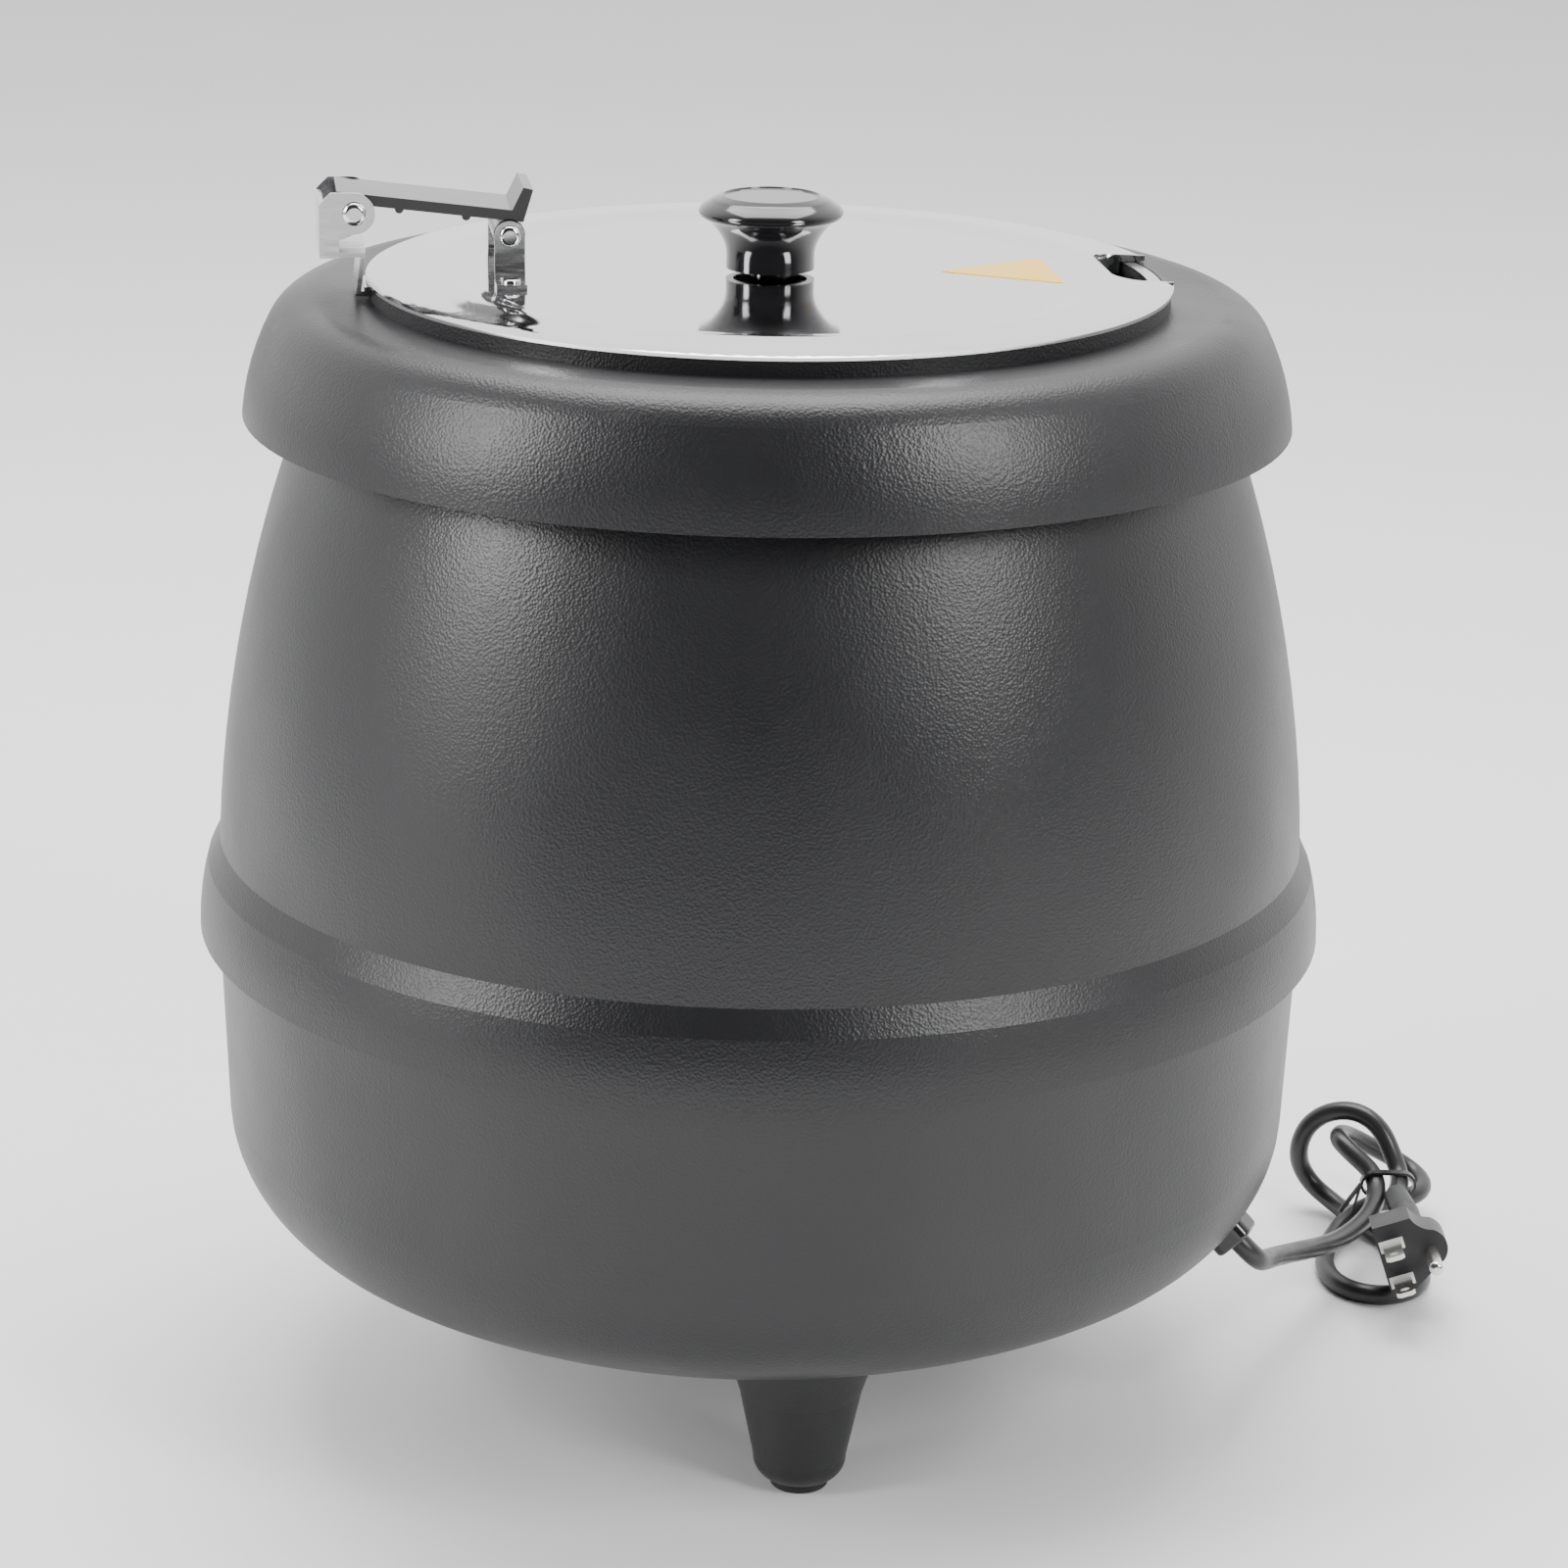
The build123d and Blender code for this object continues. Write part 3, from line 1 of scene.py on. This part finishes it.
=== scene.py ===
# %% [markdown]
# # A buffet soup kettle
#
# The kettle is a round black casing with a steel pot standing in it, closed by a polished lid on a
# hinged arm. Its shape comes from the CAD model, which is loaded here as a fixed frame. This lesson
# gives every part its finish, and adds the flexible pieces that CAD doesn't shape well.

# %% Load the frame
import math
import bmesh
import bpy
from mathutils import Matrix, Vector


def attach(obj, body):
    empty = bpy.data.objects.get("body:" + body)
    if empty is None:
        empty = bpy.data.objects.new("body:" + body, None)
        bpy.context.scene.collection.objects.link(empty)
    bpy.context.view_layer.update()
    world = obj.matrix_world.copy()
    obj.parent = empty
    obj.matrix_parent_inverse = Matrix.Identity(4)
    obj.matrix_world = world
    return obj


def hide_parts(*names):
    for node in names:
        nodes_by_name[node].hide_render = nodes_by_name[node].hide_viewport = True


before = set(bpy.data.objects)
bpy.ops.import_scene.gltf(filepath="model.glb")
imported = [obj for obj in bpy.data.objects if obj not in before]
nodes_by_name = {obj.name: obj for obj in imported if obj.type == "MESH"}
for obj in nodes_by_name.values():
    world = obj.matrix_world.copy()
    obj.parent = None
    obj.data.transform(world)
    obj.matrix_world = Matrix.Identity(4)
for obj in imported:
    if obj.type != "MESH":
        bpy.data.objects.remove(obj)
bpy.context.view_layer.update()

# %% [markdown]
# ## Camera
#
# A long lens from a little above the lid keeps the bowl's ellipses flat. The camera is turned by a
# matrix whose columns are its right, up and backward directions, so a slight roll needs no guessing.

# %% Camera
pitch = math.radians(17.608)
yaw = math.radians(0.315)
roll = math.radians(1.0914)
ahead = Vector((math.sin(yaw) * math.cos(pitch), math.cos(yaw) * math.cos(pitch), -math.sin(pitch)))
level = Vector((math.cos(yaw), -math.sin(yaw), 0.0))
above = level.cross(ahead)
right = math.cos(roll) * level + math.sin(roll) * above
up = -math.sin(roll) * level + math.cos(roll) * above
camera_place = (0.0, -1.29811, 0.60967)
sensor_mm = 36.0
lens_mm = 99.84
camera_data = bpy.data.cameras.new("camera")
camera_data.sensor_width = sensor_mm
camera_data.lens = lens_mm
camera_data.clip_end = 50.0
camera = bpy.data.objects.new("camera", camera_data)
turn = Matrix((right, up, -ahead)).transposed().to_4x4()
camera.matrix_world = Matrix.Translation(camera_place) @ turn
bpy.context.scene.collection.objects.link(camera)
bpy.context.scene.camera = camera
print("camera looks along", ahead)

# %% [markdown]
# ## Light
#
# Black plastic shows its shape mostly by what it reflects. Two large soft boxes stand at the
# front left and front right, a third hangs overhead, and a pale surround lights both outlines.

# %% Surround
world = bpy.data.worlds.new("studio")
bpy.context.scene.world = world
world.use_nodes = True
sky = world.node_tree
sky.nodes.clear()
# how bright the surround is towards the camera, and behind the kettle
dim_side = 0.05
bright_side = 2.3
direction = sky.nodes.new("ShaderNodeTexCoord")
axes = sky.nodes.new("ShaderNodeSeparateXYZ")
ramp = sky.nodes.new("ShaderNodeMapRange")
ramp.inputs["From Min"].default_value = -0.45
ramp.inputs["From Max"].default_value = 0.35
ramp.inputs["To Min"].default_value = dim_side
ramp.inputs["To Max"].default_value = bright_side
backdrop = sky.nodes.new("ShaderNodeBackground")
sky_out = sky.nodes.new("ShaderNodeOutputWorld")
sky.links.new(direction.outputs["Generated"], axes.inputs[0])
sky.links.new(axes.outputs["Y"], ramp.inputs["Value"])
sky.links.new(ramp.outputs["Result"], backdrop.inputs["Strength"])
sky.links.new(backdrop.outputs[0], sky_out.inputs["Surface"])


# %% Soft boxes
def soft_box(name, place, target, size, power):
    """A rectangular area light at place, facing target."""
    data = bpy.data.lights.new(name, "AREA")
    data.shape = "RECTANGLE"
    data.size, data.size_y = size
    data.energy = power
    lamp = bpy.data.objects.new(name, data)
    lamp.location = place
    lamp.rotation_euler = (Vector(target) - Vector(place)).to_track_quat("-Z", "Y").to_euler()
    bpy.context.scene.collection.objects.link(lamp)


soft_box("left box", (-1.75, -0.85, 1.15), (0, 0, 0.24), (0.5, 1.2), 42)
soft_box("right box", (1.35, -1.25, 1.3), (0, 0, 0.24), (0.5, 1.1), 36)
soft_box("overhead", (0, 0.5, 2.1), (0, 0, 0.2), (1.8, 1.4), 60)

# %% Floor
floor_half = 9.0
floor_mesh = bpy.data.meshes.new("floor")
shape = bmesh.new()
bmesh.ops.create_grid(shape, x_segments=1, y_segments=1, size=floor_half)
shape.to_mesh(floor_mesh)
shape.free()
floor = bpy.data.objects.new("floor", floor_mesh)
bpy.context.scene.collection.objects.link(floor)

# %% [markdown]
# ## Effects shared by the finishes
#
# Real surfaces vary. Moulded plastic has a pebble grain, handled parts have smudges that change the
# gloss, and rolled or polished steel has fine lines. Each effect is a node group, built once.


# %% Group helper
def effect(name, inputs, outputs):
    """An empty node group with float or vector inputs and float outputs."""
    group = bpy.data.node_groups.new(name, "ShaderNodeTree")
    for label, kind, value in inputs:
        socket = group.interface.new_socket(name=label, in_out="INPUT", socket_type=kind)
        if kind == "NodeSocketFloat":
            socket.default_value = value
    for label in outputs:
        group.interface.new_socket(name=label, in_out="OUTPUT", socket_type="NodeSocketFloat")
    enter = group.nodes.new("NodeGroupInput")
    leave = group.nodes.new("NodeGroupOutput")
    return group, enter, leave


# %% Pebble grain
grain, enter, leave = effect("pebble grain", [("Vector", "NodeSocketVector", 0),
                             ("Scale", "NodeSocketFloat", 600.0)], ["Height"])
cells = grain.nodes.new("ShaderNodeTexVoronoi")
cells.feature = "SMOOTH_F1"
cells.inputs["Smoothness"].default_value = 0.35
fine = grain.nodes.new("ShaderNodeTexNoise")
fine.inputs["Detail"].default_value = 3.0
total = grain.nodes.new("ShaderNodeMath")
total.operation = "MULTIPLY_ADD"
total.inputs[1].default_value = 0.22
for texture in (cells, fine):
    grain.links.new(enter.outputs["Vector"], texture.inputs["Vector"])
    grain.links.new(enter.outputs["Scale"], texture.inputs["Scale"])
grain.links.new(fine.outputs[0], total.inputs[0])
grain.links.new(cells.outputs["Distance"], total.inputs[2])
grain.links.new(total.outputs[0], leave.inputs["Height"])

# %% Smudges
smudge, enter, leave = effect("handling smudges", [("Vector", "NodeSocketVector", 0),
                              ("Scale", "NodeSocketFloat", 14.0), ("Low", "NodeSocketFloat", 0.2),
                              ("High", "NodeSocketFloat", 0.3)], ["Value"])
cloud = smudge.nodes.new("ShaderNodeTexNoise")
cloud.inputs["Detail"].default_value = 5.0
spread = smudge.nodes.new("ShaderNodeMapRange")
spread.inputs["From Min"].default_value = 0.35
spread.inputs["From Max"].default_value = 0.68
smudge.links.new(enter.outputs["Vector"], cloud.inputs["Vector"])
smudge.links.new(enter.outputs["Scale"], cloud.inputs["Scale"])
smudge.links.new(cloud.outputs[0], spread.inputs["Value"])
smudge.links.new(enter.outputs["Low"], spread.inputs["To Min"])
smudge.links.new(enter.outputs["High"], spread.inputs["To Max"])
smudge.links.new(spread.outputs["Result"], leave.inputs["Value"])
print("effects", [g.name for g in bpy.data.node_groups])


# %% [markdown]
# ## Finishes
#
# Every finish is a Principled shader. The plain numbers sit on the shader's own sockets, and only
# what changes over the surface is fed by nodes: a tint, a roughness and a bump.


# %% Finish helper
def finish(name, colour, rough, metal=0.0, coat=0.0, grain_scale=0.0, grain_depth=0.0,
           stretch=(1, 1, 1), vary=0.12, patch=14.0):
    """A material with smudged roughness, a slightly varied tint and an optional grain."""
    material = bpy.data.materials.new(name)
    material.use_nodes = True
    tree = material.node_tree
    shader = tree.nodes["Principled BSDF"]
    shader.inputs["Metallic"].default_value = metal
    shader.inputs["Coat Weight"].default_value = coat
    shader.inputs["Coat Roughness"].default_value = 0.05
    place = tree.nodes.new("ShaderNodeTexCoord")
    spot = tree.nodes.new("ShaderNodeMapping")
    spot.inputs["Scale"].default_value = stretch
    tree.links.new(place.outputs["Object"], spot.inputs["Vector"])
    gloss = tree.nodes.new("ShaderNodeGroup")
    gloss.node_tree = smudge
    gloss.inputs["Scale"].default_value = patch
    gloss.inputs["Low"].default_value = rough[0]
    gloss.inputs["High"].default_value = rough[1]
    tree.links.new(spot.outputs[0], gloss.inputs["Vector"])
    tree.links.new(gloss.outputs["Value"], shader.inputs["Roughness"])
    tint = tree.nodes.new("ShaderNodeTexNoise")
    tint.inputs["Scale"].default_value = patch * 2.3
    shades = tree.nodes.new("ShaderNodeValToRGB")
    shades.color_ramp.elements[0].color = tuple(c * (1 - vary) for c in colour) + (1,)
    shades.color_ramp.elements[1].color = tuple(min(1, c * (1 + vary)) for c in colour) + (1,)
    tree.links.new(place.outputs["Object"], tint.inputs["Vector"])
    tree.links.new(tint.outputs[0], shades.inputs[0])
    tree.links.new(shades.outputs[0], shader.inputs["Base Color"])
    if grain_scale:
        pebbles = tree.nodes.new("ShaderNodeGroup")
        pebbles.node_tree = grain
        pebbles.inputs["Scale"].default_value = grain_scale
        bump = tree.nodes.new("ShaderNodeBump")
        bump.inputs["Strength"].default_value = 0.6
        bump.inputs["Distance"].default_value = grain_depth
        tree.links.new(spot.outputs[0], pebbles.inputs["Vector"])
        tree.links.new(pebbles.outputs["Height"], bump.inputs["Height"])
        tree.links.new(bump.outputs[0], shader.inputs["Normal"])
    return material


def wear(material, *names):
    """Give the named CAD nodes this finish."""
    for name in names:
        for place in nodes_by_name[name].material_slots:
            place.material = material


# %% Studio floor
floor_mesh.materials.append(finish("floor paper", (0.86, 0.86, 0.86), (0.5, 0.6), vary=0.01))

# %% [markdown]
# ### Casing
#
# The casing is black moulded plastic with a pebble grain about two millimetres across, so its
# highlights are broad and soft. The gloss pieces come from polished moulds and have no grain.

# %% Plastics
casing_black = finish("casing black", (0.009, 0.009, 0.0105), (0.34, 0.44), grain_scale=1150,
                      grain_depth=0.00016)
wear(casing_black, "upper_casing", "lower_casing", "collar")
wear(finish("base black", (0.022, 0.022, 0.023), (0.5, 0.62), grain_scale=900, grain_depth=0.0001),
     "base_cover")
wear(finish("foot rubber", (0.02, 0.02, 0.02), (0.7, 0.85), grain_scale=1500, grain_depth=0.00006),
     "foot_pads")
wear(finish("panel black", (0.03, 0.03, 0.033), (0.35, 0.42), grain_scale=1400,
            grain_depth=0.00003), "control_panel")
gloss_black = finish("gloss black", (0.008, 0.008, 0.009), (0.08, 0.16), coat=0.4)
wear(gloss_black, "lid_knob", "control_dial", "knob_spacer")
wear(finish("arm black", (0.01, 0.01, 0.011), (0.14, 0.22), coat=0.25), "hinge_arm")
wear(finish("gland black", (0.012, 0.012, 0.012), (0.12, 0.2), coat=0.3), "cord_gland")
lens_red = finish("lens red", (0.5, 0.03, 0.02), (0.08, 0.14), coat=0.6)
wear(lens_red, "indicator_lamp")

# %% [markdown]
# ### Metals
#
# The lid is mirror-polished stainless steel and the brackets are brushed, which stretches the
# smudges into lines. The pot and well are satin, and the element's sheath is stained by heat.

# %% Steels
lid_mirror = finish("lid mirror", (0.8, 0.8, 0.81), (0.04, 0.1), metal=1.0, vary=0.02, patch=9)
wear(lid_mirror, "lid")
brushed = finish("bracket brushed", (0.64, 0.64, 0.65), (0.18, 0.3), metal=1.0, vary=0.06,
                 stretch=(1, 22, 22), patch=30)
wear(brushed, "hinge_bracket", "lid_brackets")
wear(finish("pin polish", (0.74, 0.74, 0.75), (0.08, 0.16), metal=1.0, vary=0.03),
     "front_hinge_pin", "rear_hinge_pin", "bracket_rivets", "lid_bracket_rivets", "knob_screw")
satin = finish("pot satin", (0.66, 0.66, 0.67), (0.22, 0.32), metal=1.0, vary=0.04,
               stretch=(1, 1, 16), patch=24)
wear(satin, "inner_pot", "water_well")
wear(finish("screw zinc", (0.58, 0.58, 0.6), (0.28, 0.4), metal=1.0), "base_screws",
     "casing_screws", "collar_screws", "clamp_nut", "heater_clamp", "dial_shaft")
wear(finish("spreader aluminium", (0.74, 0.74, 0.75), (0.35, 0.5), metal=1.0), "heat_spreader")
wear(finish("heat-stained sheath", (0.3, 0.27, 0.24), (0.4, 0.6), metal=1.0, vary=0.3, patch=60),
     "heating_element")
wear(finish("bulb copper", (0.72, 0.42, 0.26), (0.25, 0.4), metal=1.0), "thermostat_bulb")
wear(finish("blade nickel", (0.78, 0.77, 0.73), (0.16, 0.26), metal=1.0), "plug_blades",
     "plug_ground_pin", "element_terminals")
wear(finish("housing plastic", (0.1, 0.1, 0.11), (0.4, 0.5)), "thermostat", "thermal_cutout",
     "terminal_block")
wear(finish("seat white", (0.8, 0.8, 0.78), (0.35, 0.45), vary=0.03), "plug_blade_seats")

# %% Sticker
wear(finish("sticker yellow", (0.86, 0.5, 0.012), (0.25, 0.35), vary=0.03), "lid_sticker")

# %% [markdown]
# ## Mains cord
#
# The cord leaves the gland steeply downwards, sags to the floor beside the kettle and ends in a
# bundle behind the plug. It is one smooth curve, because a real cord has no corners: a NURBS spline
# runs near its control points without touching them. The same spline carries on round the bundle.

# %% Cord route, in metres
cord_route = [
    (0.15117, -0.04912, 0.06668), (0.15350, -0.04988, 0.06431), (0.15680, -0.04890, 0.06090),
    (0.15900, -0.04540, 0.05830), (0.16120, -0.03980, 0.05620), (0.16430, -0.02800, 0.05170),
    (0.16680, -0.01800, 0.04770), (0.17040, -0.00650, 0.04320), (0.17480, 0.00600, 0.03850),
    (0.18480, 0.03100, 0.02920), (0.19600, 0.05400, 0.02160), (0.20600, 0.07300, 0.01860),
    (0.21340, 0.08800, 0.01860), (0.21700, 0.10200, 0.02080),
    # up through the tie, then over the top left and behind
    (0.21570, 0.10850, 0.02500), (0.20900, 0.11300, 0.02980), (0.20460, 0.11900, 0.03280),
    (0.20650, 0.12800, 0.03150), (0.21150, 0.13500, 0.02750), (0.21850, 0.13900, 0.02250),
    # right loop, then down in front to the floor
    (0.22700, 0.14100, 0.01750), (0.23450, 0.13800, 0.01350), (0.23750, 0.13000, 0.01200),
    (0.23450, 0.12100, 0.01150), (0.22600, 0.11600, 0.01150), (0.21550, 0.11200, 0.01100),
    (0.20650, 0.10500, 0.00800), (0.19900, 0.09200, 0.00420), (0.19600, 0.07600, 0.00330),
    # floor loop under the plug
    (0.19800, 0.06300, 0.00330), (0.20400, 0.05500, 0.00330), (0.21200, 0.05200, 0.00330),
    (0.22000, 0.05400, 0.00330), (0.22700, 0.06100, 0.00330), (0.22950, 0.07200, 0.00330),
    (0.22600, 0.09000, 0.00330), (0.21800, 0.10500, 0.00330), (0.21100, 0.11800, 0.00380),
    # upright loop at the left, and back through the tie to the plug
    (0.20550, 0.12800, 0.00500), (0.19860, 0.13360, 0.00900), (0.19380, 0.13460, 0.01600),
    (0.19250, 0.13200, 0.02400), (0.19460, 0.13100, 0.03200), (0.20020, 0.12950, 0.03800),
    (0.20750, 0.12650, 0.04100), (0.21420, 0.12300, 0.04050), (0.21980, 0.11850, 0.03650),
    (0.22320, 0.11450, 0.02950), (0.22560, 0.10850, 0.02350), (0.22420, 0.10200, 0.02200),
    (0.22280, 0.09650, 0.02220), (0.22220, 0.09210, 0.02280),
]
cord_diameter = 0.0066
print("cord points", len(cord_route))

# %% Cord
cord_curve = bpy.data.curves.new("mains_cord", "CURVE")
cord_curve.dimensions = "3D"
cord_curve.bevel_depth = cord_diameter / 2
cord_curve.bevel_resolution = 6
cord_curve.resolution_u = 8
cord_curve.use_fill_caps = True
strand = cord_curve.splines.new("NURBS")
strand.points.add(len(cord_route) - 1)
for point, place in zip(strand.points, cord_route):
    point.co = (*place, 1.0)
strand.order_u = 3
strand.use_endpoint_u = True
cord_piece = bpy.data.objects.new("mains_cord", cord_curve)
bpy.context.scene.collection.objects.link(cord_piece)
cord_curve.materials.append(finish("cord sheath", (0.018, 0.018, 0.019), (0.28, 0.4),
                                   grain_scale=2600, grain_depth=0.00002, patch=60))
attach(cord_piece, "kettle")
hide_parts("cord_lead", "cord_tail", "cord_hank")
wear(finish("plug moulding", (0.022, 0.022, 0.024), (0.4, 0.52), grain_scale=1800,
            grain_depth=0.00003, patch=40), "plug_body")
wear(finish("tie coating", (0.012, 0.012, 0.012), (0.3, 0.4)), "cord_tie")

# %% Finishes given
def has_shader(place):
    """Whether a material slot holds a node material with a Principled shader."""
    made = place.material
    return made is not None and made.use_nodes and "Principled BSDF" in made.node_tree.nodes


bare = sorted(n for n, o in nodes_by_name.items() if not all(map(has_shader, o.material_slots)))
print("nodes without a finish:", bare)
